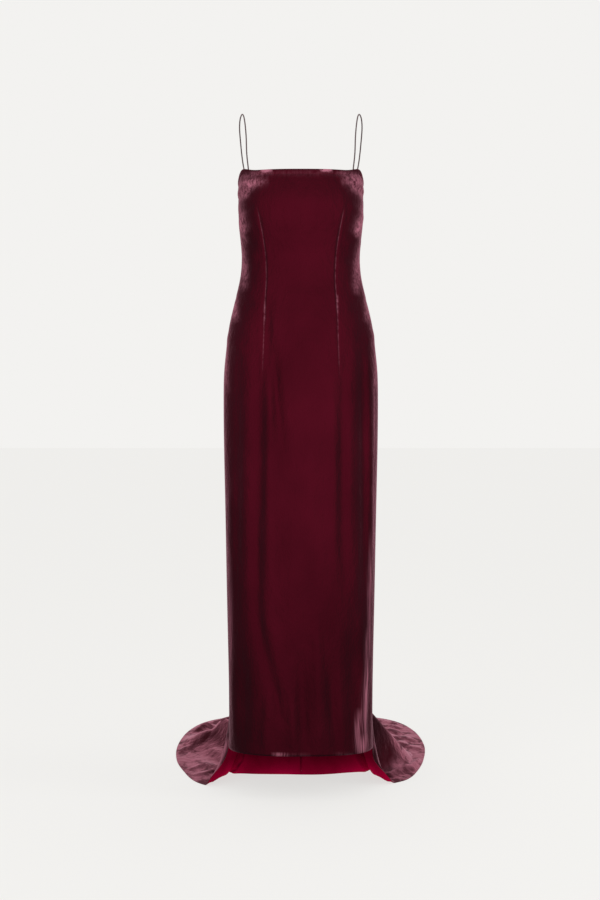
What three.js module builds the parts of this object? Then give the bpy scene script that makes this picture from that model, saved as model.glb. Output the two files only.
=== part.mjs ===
// A long velvet dress on thin shoulder straps, filled out as if worn, with a train lying on the floor behind.
// Millimetres, +Z up, the front faces -Y. The origin lies midway between the tops of the two strap loops.
import * as THREE from 'three';

// Driving sizes. Heights are measured up from the floor that the train lies on.
const SHOULDER_HEIGHT = 1547;
const NECK_HEIGHT = 1399.5;
const NECK_SIDE_OUT = 143;
const NECK_LIFT = 8;
const NECK_LIFT_OUT = 90;
const NECK_LIFT_SPREAD = 24;
const NECK_DROP_START = 90;
const NECK_DROP_SPREAD = 40;
const NECK_SIDE_DROP = 12;
const NECK_BACK_DROP = 8;
const HEM_HEIGHT = 98;
const SIDE_HEM_HEIGHT = 98;
const WALL = 2;
const SEAM_GAP = 0.3;
const NECK_BAND_HEIGHT = 11;
const NECK_BAND_RAISE = 0.8;
const NECK_BAND_STEP = 2;

// Level sections of the body. The power is 2 for an ellipse and higher for a squarer curve.
const SECTIONS = [
  { height: 60, halfWidth: 164, frontDepth: 115, backDepth: 100, frontPower: 2.75, backPower: 2.7 },
  { height: 230, halfWidth: 164.5, frontDepth: 115, backDepth: 101, frontPower: 2.75, backPower: 2.7 },
  { height: 450, halfWidth: 169, frontDepth: 113, backDepth: 105, frontPower: 2.7, backPower: 2.6 },
  { height: 620, halfWidth: 172.5, frontDepth: 111, backDepth: 111, frontPower: 2.65, backPower: 2.5 },
  { height: 780, halfWidth: 176, frontDepth: 109, backDepth: 116, frontPower: 2.6, backPower: 2.4 },
  { height: 880, halfWidth: 177, frontDepth: 107, backDepth: 120, frontPower: 2.6, backPower: 2.4 },
  { height: 948, halfWidth: 176, frontDepth: 105, backDepth: 120, frontPower: 2.6, backPower: 2.3 },
  { height: 1003, halfWidth: 171, frontDepth: 102, backDepth: 116, frontPower: 2.6, backPower: 2.3 },
  { height: 1058, halfWidth: 164, frontDepth: 98, backDepth: 109, frontPower: 2.6, backPower: 2.3 },
  { height: 1113, halfWidth: 151.5, frontDepth: 93, backDepth: 99, frontPower: 2.6, backPower: 2.3 },
  { height: 1168, halfWidth: 139, frontDepth: 89, backDepth: 89, frontPower: 2.6, backPower: 2.3 },
  { height: 1212, halfWidth: 135.5, frontDepth: 90, backDepth: 84, frontPower: 2.6, backPower: 2.4 },
  { height: 1251, halfWidth: 138, frontDepth: 99, backDepth: 86, frontPower: 2.7, backPower: 2.4 },
  { height: 1290, halfWidth: 142, frontDepth: 110, backDepth: 90, frontPower: 2.8, backPower: 2.5 },
  { height: 1334, halfWidth: 143.5, frontDepth: 115, backDepth: 94, frontPower: 2.9, backPower: 2.6 },
  { height: 1400, halfWidth: 143, frontDepth: 104, backDepth: 93, frontPower: 2.7, backPower: 2.7 },
];

// The front dart lines, out from the centre front, and how deep their stitched crease is.
const DART_LINE = [
  { height: 930, out: 87, depth: 0 },
  { height: 1018, out: 84, depth: 0.8 },
  { height: 1092, out: 82, depth: 1.4 },
  { height: 1156, out: 78, depth: 1.6 },
  { height: 1212, out: 80, depth: 1.5 },
  { height: 1263, out: 87, depth: 1.1 },
  { height: 1320, out: 98, depth: 0 },
];

// Where each line of cloth down the back meets the floor (bend) and ends at the hem (rim). The first column
// is the share of the way round from the side seam to the centre back. The rest are out, back and up.
const LEFT_TRAIN = [
  { round: 0.0, bendOut: 164.5, bendBack: 0, bendUp: 114, rimOut: 164.5, rimBack: 0, rimUp: 98 },
  { round: 0.04, bendOut: 168, bendBack: 6, bendUp: 80, rimOut: 170, rimBack: 4, rimUp: 60 },
  { round: 0.08, bendOut: 188, bendBack: 18, bendUp: 36, rimOut: 200, rimBack: 20, rimUp: 22 },
  { round: 0.12, bendOut: 203, bendBack: 37, bendUp: 6, rimOut: 217, rimBack: 29, rimUp: 2 },
  { round: 0.2, bendOut: 198, bendBack: 57, bendUp: 2, rimOut: 250, rimBack: 62, rimUp: 2 },
  { round: 0.3, bendOut: 188, bendBack: 84, bendUp: 2, rimOut: 276, rimBack: 124, rimUp: 2 },
  { round: 0.42, bendOut: 171, bendBack: 112, bendUp: 2, rimOut: 304, rimBack: 240, rimUp: 2 },
  { round: 0.55, bendOut: 150, bendBack: 130, bendUp: 2, rimOut: 321, rimBack: 400, rimUp: 2 },
  { round: 0.68, bendOut: 112, bendBack: 124, bendUp: 2, rimOut: 306, rimBack: 577, rimUp: 2 },
  { round: 0.8, bendOut: 72, bendBack: 112, bendUp: 2, rimOut: 252, rimBack: 703, rimUp: 2 },
  { round: 0.9, bendOut: 36, bendBack: 106, bendUp: 2, rimOut: 138, rimBack: 770, rimUp: 2 },
  { round: 1.0, bendOut: 0, bendBack: 106, bendUp: 2, rimOut: 0, rimBack: 790, rimUp: 2 },
];
const RIGHT_TRAIN = [
  { round: 0.0, bendOut: 164.5, bendBack: 0, bendUp: 114, rimOut: 164.5, rimBack: 0, rimUp: 98 },
  { round: 0.04, bendOut: 173, bendBack: 6, bendUp: 80, rimOut: 177, rimBack: 4, rimUp: 60 },
  { round: 0.08, bendOut: 194, bendBack: 18, bendUp: 40, rimOut: 205, rimBack: 8, rimUp: 23 },
  { round: 0.12, bendOut: 205, bendBack: 34, bendUp: 6, rimOut: 220, rimBack: 11, rimUp: 2 },
  { round: 0.2, bendOut: 200, bendBack: 58, bendUp: 2, rimOut: 250, rimBack: 50, rimUp: 2 },
  { round: 0.3, bendOut: 191, bendBack: 82, bendUp: 2, rimOut: 277, rimBack: 122, rimUp: 2 },
  { round: 0.42, bendOut: 174, bendBack: 106, bendUp: 2, rimOut: 308, rimBack: 242, rimUp: 2 },
  { round: 0.55, bendOut: 149, bendBack: 116, bendUp: 2, rimOut: 320, rimBack: 400, rimUp: 2 },
  { round: 0.68, bendOut: 110, bendBack: 112, bendUp: 2, rimOut: 303, rimBack: 577, rimUp: 2 },
  { round: 0.8, bendOut: 71, bendBack: 110, bendUp: 2, rimOut: 250, rimBack: 700, rimUp: 2 },
  { round: 0.9, bendOut: 35, bendBack: 109, bendUp: 2, rimOut: 138, rimBack: 769, rimUp: 2 },
  { round: 1.0, bendOut: 0, bendBack: 106, bendUp: 2, rimOut: 0, rimBack: 790, rimUp: 2 },
];
const FLARE_BACK_HEIGHT = 150;
const FLARE_SIDE_HEIGHT = 210;
const FLARE_DROP_START = 0.48;
const FLARE_DROP_SPREAD = 0.45;
const BEND_HANDLE = 16;
const FALL_HANDLE = 0.55;

// Cone folds that stand in the train: place round from the side seam, width at the skirt and at the hem,
// how much of the full tent they reach, and how far they push the skirt out above the floor.
const LEFT_TENTS = [
  { round: 0.46, width: 0.03, hemWidth: 0.1, lift: 1, push: 3 },
];
const RIGHT_TENTS = [
  { round: 0.44, width: 0.03, hemWidth: 0.09, lift: 0.15, push: 3 },
];
const LEFT_REACH = 0.83;
const RIGHT_REACH = 0.8;
const TENT_BEND_SHARE = 0.4;
const TENT_SPREAD = 1.6;
const TENT_START = 0.1;
const TENT_START_SPREAD = 0.12;

// Low folds that lie in the train past the bend: place, width, height, and the push on the skirt above them.
const LEFT_RIPPLES = [
  { round: 0.64, width: 0.035, rise: 14, push: 4 },
  { round: 0.76, width: 0.04, rise: 26, push: 6 },
  { round: 0.88, width: 0.035, rise: 18, push: 3 },
];
const RIGHT_RIPPLES = [
  { round: 0.62, width: 0.04, rise: 12, push: 5 },
  { round: 0.73, width: 0.03, rise: 16, push: 3 },
  { round: 0.84, width: 0.04, rise: 24, push: 6 },
];

// A fold that stands across the train: its top from point to point, steeper on its near side.
const LEFT_FOLD = [
  { out: 200, back: 690, rise: 10, near: 22, far: 34 },
  { out: 268, back: 636, rise: 8, near: 20, far: 30 },
];
const RIGHT_FOLD = [
  { out: 60, back: 220, rise: 22, near: 46, far: 76 },
  { out: 130, back: 310, rise: 52, near: 46, far: 76 },
  { out: 190, back: 395, rise: 60, near: 44, far: 72 },
  { out: 228, back: 402, rise: 38, near: 40, far: 66 },
  { out: 300, back: 392, rise: 4, near: 36, far: 60 },
];
const FOLD_NEAR_FADE = 6;
const FOLD_HEM_FADE = 9;
const RIPPLE_SKEW = 0.45;
const PUSH_TOP_HEIGHT = 760;

// How fast the folds fade out beside the side seam and the centre back seam.
const SIDE_FADE = 8;
const CENTRE_FADE = 12;

// The straps: thin round loops over the shoulders, their ends behind the neck edge.
const STRAP_DIAMETER = 3;
const STRAP_TUCK = 12;
const STRAP_FRONT_OUT = 120;
const STRAP_BACK_OUT = 126;
const STRAP_ROUTE = [
  { out: 121.5, back: -64, height: 1440 },
  { out: 124, back: -43, height: 1487 },
  { out: 127.5, back: -26, height: 1521 },
  { out: 131, back: -13, height: 1539 },
  { out: 135, back: 0, height: SHOULDER_HEIGHT - STRAP_DIAMETER / 2 },
  { out: 139.5, back: 13, height: 1540 },
  { out: 142, back: 26, height: 1523 },
  { out: 140.3, back: 42, height: 1490 },
  { out: 135, back: 52, height: 1442 },
];

// Mesh steps.
const FRONT_HALF_COLUMNS = 14;
const DART_COLUMN = 5;
const FRONT_ROWS = 26;
const BACK_COLUMN_RUNS = [
  { from: 0, to: 0.14, columns: 6 },
  { from: 0.14, to: 0.34, columns: 5 },
  { from: 0.34, to: 0.54, columns: 9 },
  { from: 0.54, to: 0.76, columns: 9 },
  { from: 0.76, to: 1, columns: 5 },
];
const BODY_ROWS = 17;
const FLARE_ROWS = 9;
const FLOOR_ROWS = 15;
const ARC_STEPS = 160;
const STRAP_STEPS = 35;
const STRAP_SIDES = 8;

const clamp = (value, low, high) => Math.min(high, Math.max(low, value));
const mix = (from, to, share) => from + (to - from) * share;
const smooth = (share) => {
  const s = clamp(share, 0, 1);
  return s * s * (3 - 2 * s);
};

// A smooth curve through one column of a table, read at a place along another.
function readTable(rows, along, column, at) {
  const last = rows.length - 1;
  if (at <= rows[0][along]) return rows[0][column];
  if (at >= rows[last][along]) return rows[last][column];
  let i = 0;
  while (rows[i + 1][along] < at) i += 1;
  const slope = (k) => {
    const low = Math.max(0, k - 1);
    const high = Math.min(last, k + 1);
    return (rows[high][column] - rows[low][column]) / (rows[high][along] - rows[low][along]);
  };
  const span = rows[i + 1][along] - rows[i][along];
  const t = (at - rows[i][along]) / span;
  const start = rows[i][column];
  const end = rows[i + 1][column];
  const rise = (2 * t ** 3 - 3 * t ** 2 + 1) * start + (3 * t ** 2 - 2 * t ** 3) * end;
  return rise + (t ** 3 - 2 * t ** 2 + t) * span * slope(i) + (t ** 3 - t ** 2) * span * slope(i + 1);
}

// A quarter of the level section: points from the side seam round to the centre, and the length up to each.
function quarterArc(height, face) {
  const halfWidth = readTable(SECTIONS, 'height', 'halfWidth', height);
  const depth = readTable(SECTIONS, 'height', `${face}Depth`, height);
  const power = 2 / readTable(SECTIONS, 'height', `${face}Power`, height);
  const points = [];
  let length = 0;
  for (let i = 0; i <= ARC_STEPS; i += 1) {
    const angle = (Math.PI / 2) * (i / ARC_STEPS);
    const out = halfWidth * Math.cos(angle) ** power;
    const deep = depth * Math.sin(angle) ** power;
    if (i > 0) length += Math.hypot(out - points[i - 1].out, deep - points[i - 1].deep);
    points.push({ out: i === ARC_STEPS ? 0 : out, deep, length });
  }
  return points;
}

const arcs = new Map();
function bodyPoint(face, share, height) {
  const key = `${face} ${height.toFixed(3)}`;
  if (!arcs.has(key)) arcs.set(key, quarterArc(height, face));
  const arc = arcs.get(key);
  const wanted = share * arc[ARC_STEPS].length;
  let i = 1;
  while (i < ARC_STEPS && arc[i].length < wanted) i += 1;
  const t = (wanted - arc[i - 1].length) / (arc[i].length - arc[i - 1].length);
  return { out: mix(arc[i - 1].out, arc[i].out, t), deep: mix(arc[i - 1].deep, arc[i].deep, t) };
}

// The share round from the side seam at which the section is a given distance out from the centre.
function shareAt(face, out, height) {
  let low = 0;
  let high = 1;
  for (let i = 0; i < 24; i += 1) {
    const middle = (low + high) / 2;
    if (bodyPoint(face, middle, height).out > out) low = middle;
    else high = middle;
  }
  return low;
}

const seamShare = (height, face) => SEAM_GAP / 2 / quarterArc(height, face)[ARC_STEPS].length;

// The neck edge rises a little beside each strap and drops towards the side seams and the centre back.
function neckHeight(out) {
  const lift = NECK_LIFT * Math.exp(-(((out - NECK_LIFT_OUT) / NECK_LIFT_SPREAD) ** 2));
  return NECK_HEIGHT + lift - NECK_SIDE_DROP * smooth((out - NECK_DROP_START) / NECK_DROP_SPREAD);
}
const backNeckHeight = (round) => neckHeight(NECK_SIDE_OUT) - NECK_BACK_DROP * smooth(round);

// One closed wall from its outer points, moved in along their normals. Nothing reaches under the floor.
function wallGeometry(outer, towardInside) {
  const rows = outer.length;
  const columns = outer[0].length;
  const at = (r, c) => outer[clamp(r, 0, rows - 1)][clamp(c, 0, columns - 1)];
  const inner = outer.map((row, r) => row.map((point, c) => {
    const along = at(r, c + 1).clone().sub(at(r, c - 1));
    const down = at(r + 1, c).clone().sub(at(r - 1, c));
    const normal = along.cross(down).normalize().multiplyScalar(towardInside * WALL);
    const moved = point.clone().add(normal);
    moved.z = Math.max(moved.z, 0);
    return moved;
  }));
  const positions = [];
  for (const point of [...outer, ...inner].flat()) positions.push(point.x, point.y, point.z);
  const layer = rows * columns;
  const id = (side, r, c) => side * layer + r * columns + c;
  const triangles = [];
  const quad = (a, b, c, d) => triangles.push(a, b, c, a, c, d);
  for (let r = 0; r < rows - 1; r += 1) {
    for (let c = 0; c < columns - 1; c += 1) {
      quad(id(0, r, c), id(0, r + 1, c), id(0, r + 1, c + 1), id(0, r, c + 1));
      quad(id(1, r, c), id(1, r, c + 1), id(1, r + 1, c + 1), id(1, r + 1, c));
    }
  }
  for (let r = 0; r < rows - 1; r += 1) {
    quad(id(0, r, 0), id(1, r, 0), id(1, r + 1, 0), id(0, r + 1, 0));
    quad(id(0, r, columns - 1), id(0, r + 1, columns - 1), id(1, r + 1, columns - 1), id(1, r, columns - 1));
  }
  for (let c = 0; c < columns - 1; c += 1) {
    quad(id(0, 0, c), id(0, 0, c + 1), id(1, 0, c + 1), id(1, 0, c));
    quad(id(0, rows - 1, c), id(1, rows - 1, c), id(1, rows - 1, c + 1), id(0, rows - 1, c + 1));
  }
  if (towardInside < 0) triangles.reverse();
  const geometry = new THREE.BufferGeometry();
  geometry.setAttribute('position', new THREE.Float32BufferAttribute(positions, 3));
  geometry.setIndex(triangles);
  geometry.computeVertexNormals();
  return geometry;
}

// The heights of a wall's rows under the neck edge: the turned band has two rows of its own.
function rowHeights(top, bottom, count) {
  const heights = [top, top - NECK_BAND_HEIGHT, top - NECK_BAND_HEIGHT - NECK_BAND_STEP];
  const start = heights[2];
  for (let i = 1; i <= count; i += 1) heights.push(mix(start, bottom, i / count));
  return heights;
}
const bandRaise = (row) => (row < 2 ? NECK_BAND_RAISE : 0);

// A point of the body moved out from it.
function raised(face, share, height, amount) {
  const step = 0.01;
  const here = bodyPoint(face, share, height);
  const before = bodyPoint(face, Math.max(0, share - step), height);
  const after = bodyPoint(face, Math.min(1, share + step), height);
  const run = Math.hypot(after.out - before.out, after.deep - before.deep);
  return {
    out: here.out + (amount * (after.deep - before.deep)) / run,
    deep: here.deep - (amount * (after.out - before.out)) / run,
  };
}

// The front: one panel from side seam to side seam, with two long darts.
function frontPanel() {
  const columns = [];
  for (let k = -FRONT_HALF_COLUMNS; k <= FRONT_HALF_COLUMNS; k += 1) columns.push(k);
  const centreOut = columns.map((k) => (Math.abs(k) / FRONT_HALF_COLUMNS) * NECK_SIDE_OUT);
  const lines = columns.map((k, c) => rowHeights(
    neckHeight(centreOut[c]),
    mix(HEM_HEIGHT, SIDE_HEM_HEIGHT, Math.abs(k / FRONT_HALF_COLUMNS) ** 4),
    FRONT_ROWS,
  ));
  const outer = lines[0].map((_, r) => columns.map((k, c) => {
    const height = lines[c][r];
    const dartShare = 1 - shareAt('front', readTable(DART_LINE, 'height', 'out', height), height);
    const step = Math.abs(k);
    const fromCentre = step <= DART_COLUMN
      ? (step / DART_COLUMN) * dartShare
      : mix(dartShare, 1, (step - DART_COLUMN) / (FRONT_HALF_COLUMNS - DART_COLUMN));
    const share = Math.max(1 - fromCentre, seamShare(height, 'front'));
    const crease = step === DART_COLUMN ? readTable(DART_LINE, 'height', 'depth', height) : 0;
    const point = raised('front', share, height, bandRaise(r) - crease);
    return new THREE.Vector3(Math.sign(k) * point.out, -point.deep, height);
  }));
  return wallGeometry(outer, 1);
}

const bump = (round, centre, width) => Math.exp(-(((round - centre) / width) ** 2));
const centreFade = (round) => smooth((1 - round) * CENTRE_FADE);
function flareHeight(round) {
  return mix(FLARE_SIDE_HEIGHT, FLARE_BACK_HEIGHT, smooth((round - FLARE_DROP_START) / FLARE_DROP_SPREAD));
}

// The skirt above the floor, pushed out a little by the folds that start in it.
function backBody(round, height, half, raise) {
  const share = clamp(round, seamShare(height, 'back'), 1 - seamShare(height, 'back'));
  const low = smooth((PUSH_TOP_HEIGHT - height) / (PUSH_TOP_HEIGHT - FLARE_BACK_HEIGHT));
  const folds = [...half.tents, ...half.ripples];
  const push = folds.reduce((sum, fold) => sum + fold.push * bump(round, fold.round, fold.width), 0) * low;
  return raised('back', share, height, raise + push * smooth(round * SIDE_FADE) * centreFade(round));
}

// How high a standing fold lifts the cloth at a place out and back.
function foldRise(fold, out, back) {
  let rise = 0;
  for (let i = 0; i < fold.length - 1; i += 1) {
    const from = fold[i];
    const runOut = fold[i + 1].out - from.out;
    const runBack = fold[i + 1].back - from.back;
    const along = ((out - from.out) * runOut + (back - from.back) * runBack) / (runOut ** 2 + runBack ** 2);
    const t = clamp(along, 0, 1);
    const behind = back - from.back - t * runBack;
    const distance = Math.hypot(out - from.out - t * runOut, behind);
    const farShare = distance > 0 ? (1 + behind / distance) / 2 : 0;
    const width = mix(from.near, from.far, farShare);
    rise = Math.max(rise, mix(from.rise, fold[i + 1].rise, t) * Math.exp(-((distance / width) ** 2)));
  }
  return rise;
}

// One line of cloth from where it leaves the skirt, down to the floor and out to the hem.
function trainPoint(round, row, half) {
  const read = (column) => readTable(half.train, 'round', column, round);
  const height = flareHeight(round);
  const top = backBody(round, height, half, 0);
  const centreGap = SEAM_GAP / 2;
  const start = new THREE.Vector3(top.out, top.deep, height);
  const bend = new THREE.Vector3(read('bendOut'), read('bendBack'), Math.max(WALL, read('bendUp')));
  const rim = new THREE.Vector3(read('rimOut'), read('rimBack'), Math.max(WALL, read('rimUp')));
  bend.x = Math.max(bend.x, centreGap);
  rim.x = Math.max(rim.x, centreGap);
  const fall = start.clone().setZ(mix(start.z, bend.z, FALL_HANDLE));
  const outward = rim.clone().sub(bend).normalize();
  const handle = bend.clone().addScaledVector(outward, -BEND_HANDLE);
  handle.x = Math.max(handle.x, centreGap);
  const flare = new THREE.CubicBezierCurve3(start, fall, handle, bend);
  const onFlare = row <= FLARE_ROWS;
  const part = onFlare ? row / FLARE_ROWS : (row - FLARE_ROWS) / FLOOR_ROWS;
  const lying = onFlare ? flare.getPoint(part) : bend.clone().lerp(rim, part);
  const along = onFlare ? part * TENT_BEND_SHARE : mix(TENT_BEND_SHARE, 1, part);
  const tented = start.clone().lerp(rim, along);
  tented.z = rim.z + (start.z - rim.z) * Math.max(0, 1 - along / half.reach);
  const spread = onFlare ? 0 : smooth(part * TENT_SPREAD);
  const lift = half.tents.reduce((sum, tent) => {
    const width = mix(tent.width, tent.hemWidth, spread);
    return sum + tent.lift * bump(round, tent.round, width);
  }, 0);
  const fromSide = smooth((round - TENT_START) / TENT_START_SPREAD);
  const point = lying.lerp(tented, clamp(lift, 0, 1) * fromSide * centreFade(round));
  if (onFlare) return point;
  const swell = Math.sin(Math.PI * part ** RIPPLE_SKEW);
  const ripple = half.ripples.reduce((sum, fold) => sum + fold.rise * bump(round, fold.round, fold.width), 0);
  const foldFade = smooth(part * FOLD_NEAR_FADE) * smooth((1 - part) * FOLD_HEM_FADE) * fromSide;
  point.z += swell * ripple * centreFade(round) + foldRise(half.fold, point.x, point.y) * foldFade;
  return point;
}

// One half of the back, from the neck edge down and out over the floor. side is 1 for the wearer's left.
function backPanel(side, half) {
  const rounds = [0];
  for (const run of BACK_COLUMN_RUNS) {
    for (let c = 1; c <= run.columns; c += 1) rounds.push(mix(run.from, run.to, c / run.columns));
  }
  const bodyHeights = rounds.map(
    (round) => rowHeights(backNeckHeight(round), flareHeight(round), BODY_ROWS),
  );
  const outer = bodyHeights[0].map((_, r) => rounds.map((round, c) => {
    const height = bodyHeights[c][r];
    const point = backBody(round, height, half, bandRaise(r));
    return new THREE.Vector3(side * point.out, point.deep, height);
  }));
  for (let row = 1; row <= FLARE_ROWS + FLOOR_ROWS; row += 1) {
    outer.push(rounds.map((round) => {
      const point = trainPoint(round, row, half);
      return point.setX(point.x * side);
    }));
  }
  return wallGeometry(outer, side);
}

// A strap end lies flat behind the wall, under the neck edge.
function strapAnchor(face, out, height) {
  const inward = WALL + SEAM_GAP + STRAP_DIAMETER / 2;
  const point = raised(face, shareAt(face, out, height), height, -inward);
  return new THREE.Vector3(point.out, face === 'front' ? -point.deep : point.deep, height);
}

function strap(side) {
  const backTop = backNeckHeight((2 / Math.PI) * Math.acos(STRAP_BACK_OUT / NECK_SIDE_OUT));
  const route = [
    strapAnchor('front', STRAP_FRONT_OUT, NECK_HEIGHT - STRAP_TUCK),
    strapAnchor('front', STRAP_FRONT_OUT, NECK_HEIGHT),
    ...STRAP_ROUTE.map((stop) => new THREE.Vector3(stop.out, stop.back, stop.height)),
    strapAnchor('back', STRAP_BACK_OUT, backTop),
    strapAnchor('back', STRAP_BACK_OUT, backTop - STRAP_TUCK),
  ];
  for (const point of route) point.x *= side;
  const section = new THREE.Shape();
  for (let i = 0; i < STRAP_SIDES; i += 1) {
    const angle = (2 * Math.PI * i) / STRAP_SIDES;
    const x = (STRAP_DIAMETER / 2) * Math.cos(angle);
    const y = (STRAP_DIAMETER / 2) * Math.sin(angle);
    if (i === 0) section.moveTo(x, y);
    else section.lineTo(x, y);
  }
  section.closePath();
  return new THREE.ExtrudeGeometry(section, {
    steps: STRAP_STEPS,
    extrudePath: new THREE.CatmullRomCurve3(route, false, 'centripetal'),
    bevelEnabled: false,
  });
}

const velvet = (color) => new THREE.MeshStandardMaterial({
  color,
  roughness: 0.9,
  metalness: 0,
  side: THREE.FrontSide,
});
const FRONT_COLOR = 0x4a0618;
const BACK_COLOR = 0x5a0a20;
const STRAP_COLOR = 0x4a3a3b;
const LEFT_HALF = {
  train: LEFT_TRAIN,
  tents: LEFT_TENTS,
  ripples: LEFT_RIPPLES,
  fold: LEFT_FOLD,
  reach: LEFT_REACH,
};
const RIGHT_HALF = {
  train: RIGHT_TRAIN,
  tents: RIGHT_TENTS,
  ripples: RIGHT_RIPPLES,
  fold: RIGHT_FOLD,
  reach: RIGHT_REACH,
};

const dress = new THREE.Group();
dress.position.z = -SHOULDER_HEIGHT;
const pieces = [
  ['front', frontPanel(), FRONT_COLOR],
  ['back_left', backPanel(1, LEFT_HALF), BACK_COLOR],
  ['back_right', backPanel(-1, RIGHT_HALF), BACK_COLOR],
  ['strap_left', strap(1), STRAP_COLOR],
  ['strap_right', strap(-1), STRAP_COLOR],
];
for (const [name, geometry, color] of pieces) {
  const mesh = new THREE.Mesh(geometry, velvet(color));
  mesh.name = name;
  dress.add(mesh);
}

export default dress;
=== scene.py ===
"""A long velvet dress on thin shoulder straps, filled out as if worn, its train lying on the floor behind.

The cloth is worked out in millimetres, with heights measured up from the floor, and then put into metres.
"""

import math

import bpy
import numpy as np
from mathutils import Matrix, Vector


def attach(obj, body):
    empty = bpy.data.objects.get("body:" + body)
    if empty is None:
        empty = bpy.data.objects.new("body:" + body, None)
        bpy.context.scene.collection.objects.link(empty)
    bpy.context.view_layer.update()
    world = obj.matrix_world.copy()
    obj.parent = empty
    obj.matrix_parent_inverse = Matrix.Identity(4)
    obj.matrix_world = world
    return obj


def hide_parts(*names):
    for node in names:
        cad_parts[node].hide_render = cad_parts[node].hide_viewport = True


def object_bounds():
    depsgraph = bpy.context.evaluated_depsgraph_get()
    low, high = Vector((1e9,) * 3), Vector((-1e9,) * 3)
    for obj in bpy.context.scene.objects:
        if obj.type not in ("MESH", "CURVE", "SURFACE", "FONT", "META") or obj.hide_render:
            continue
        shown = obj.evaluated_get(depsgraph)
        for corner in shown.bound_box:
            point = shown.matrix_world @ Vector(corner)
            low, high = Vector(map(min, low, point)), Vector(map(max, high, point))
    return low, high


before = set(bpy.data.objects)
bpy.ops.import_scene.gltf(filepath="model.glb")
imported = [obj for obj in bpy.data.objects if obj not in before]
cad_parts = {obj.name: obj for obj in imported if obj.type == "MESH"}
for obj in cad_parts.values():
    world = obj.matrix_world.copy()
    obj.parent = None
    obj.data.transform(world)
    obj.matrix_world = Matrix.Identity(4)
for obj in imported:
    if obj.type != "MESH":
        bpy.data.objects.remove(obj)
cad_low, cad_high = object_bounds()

METRES = 0.001
FLOOR_SIZE = 3000
FLOOR = cad_low.z
SHOULDER_HEIGHT = -FLOOR / METRES

# Sizes that the panels share with the solids.
NECK_HEIGHT = 1399.5
NECK_SIDE_OUT = 143
NECK_LIFT, NECK_LIFT_OUT, NECK_LIFT_SPREAD = 8, 90, 24
NECK_DROP_START, NECK_DROP_SPREAD, NECK_SIDE_DROP = 90, 40, 12
NECK_BACK_DROP = 8
HEM_HEIGHT, SIDE_HEM_HEIGHT = 98, 98
SEAM_GAP = 0.3
CENTRE_GAP = 0.02
CLOTH = 1.3
BAND_HEIGHT = 11
HEM_TURN = 16


def table(columns, rows):
    """A short table as named columns of numbers."""
    values = np.array(rows, float)
    return {name: values[:, i] for i, name in enumerate(columns.split())}


SECTIONS = table(
    "height half_width front_depth back_depth front_power back_power",
    [
        (60, 164, 115, 100, 2.75, 2.7),
        (230, 164.5, 115, 101, 2.75, 2.7),
        (450, 169, 113, 105, 2.7, 2.6),
        (620, 172.5, 111, 111, 2.65, 2.5),
        (780, 176, 109, 116, 2.6, 2.4),
        (880, 177, 107, 120, 2.6, 2.4),
        (948, 176, 105, 120, 2.6, 2.3),
        (1003, 171, 102, 116, 2.6, 2.3),
        (1058, 164, 98, 109, 2.6, 2.3),
        (1113, 151.5, 93, 99, 2.6, 2.3),
        (1168, 139, 89, 89, 2.6, 2.3),
        (1212, 135.5, 90, 84, 2.6, 2.4),
        (1251, 138, 99, 86, 2.7, 2.4),
        (1290, 142, 110, 90, 2.8, 2.5),
        (1334, 143.5, 115, 94, 2.9, 2.6),
        (1400, 143, 104, 93, 2.7, 2.7),
    ],
)
DART = table(
    "height out depth",
    [
        (930, 87, 0),
        (1018, 84, 1.0),
        (1092, 82, 1.7),
        (1156, 78, 1.9),
        (1212, 80, 1.8),
        (1263, 87, 1.4),
        (1320, 98, 0),
    ],
)
TRAIN_COLUMNS = "round bend_out bend_back bend_up rim_out rim_back rim_up"
LEFT_TRAIN = table(
    TRAIN_COLUMNS,
    [
        (0.0, 164.5, 0, 114, 164.5, 0, 98),
        (0.04, 168, 6, 80, 170, 4, 60),
        (0.08, 188, 18, 36, 200, 20, 22),
        (0.12, 203, 37, 6, 217, 29, 2),
        (0.2, 198, 57, 2, 250, 62, 2),
        (0.3, 188, 84, 2, 276, 124, 2),
        (0.42, 171, 112, 2, 304, 240, 2),
        (0.55, 150, 130, 2, 321, 400, 2),
        (0.68, 112, 124, 2, 306, 577, 2),
        (0.8, 72, 112, 2, 252, 703, 2),
        (0.9, 36, 106, 2, 138, 770, 2),
        (1.0, 0, 106, 2, 0, 790, 2),
    ],
)
RIGHT_TRAIN = table(
    TRAIN_COLUMNS,
    [
        (0.0, 164.5, 0, 114, 164.5, 0, 98),
        (0.04, 173, 6, 80, 177, 4, 60),
        (0.08, 194, 18, 40, 205, 8, 23),
        (0.12, 205, 34, 6, 220, 11, 2),
        (0.2, 200, 58, 2, 250, 50, 2),
        (0.3, 191, 82, 2, 277, 122, 2),
        (0.42, 174, 106, 2, 308, 242, 2),
        (0.55, 149, 116, 2, 320, 400, 2),
        (0.68, 110, 112, 2, 303, 577, 2),
        (0.8, 71, 110, 2, 250, 700, 2),
        (0.9, 35, 109, 2, 138, 769, 2),
        (1.0, 0, 106, 2, 0, 790, 2),
    ],
)
FLARE_BACK_HEIGHT, FLARE_SIDE_HEIGHT = 150, 210
FLARE_DROP_START, FLARE_DROP_SPREAD = 0.48, 0.45
BEND_HANDLE, FALL_HANDLE = 16, 0.55
TENT_COLUMNS = "round width hem_width lift push"
LEFT_TENTS = table(TENT_COLUMNS, [(0.46, 0.03, 0.1, 1, 3)])
RIGHT_TENTS = table(TENT_COLUMNS, [(0.44, 0.03, 0.09, 0.15, 3)])
TENT_SAG, TENT_BEND_SHARE, TENT_SPREAD = 1.0, 0.4, 1.6
RIPPLE_COLUMNS = "round width rise push"
LEFT_RIPPLES = table(RIPPLE_COLUMNS, [(0.64, 0.035, 14, 4), (0.76, 0.04, 26, 6), (0.88, 0.035, 18, 3)])
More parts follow.
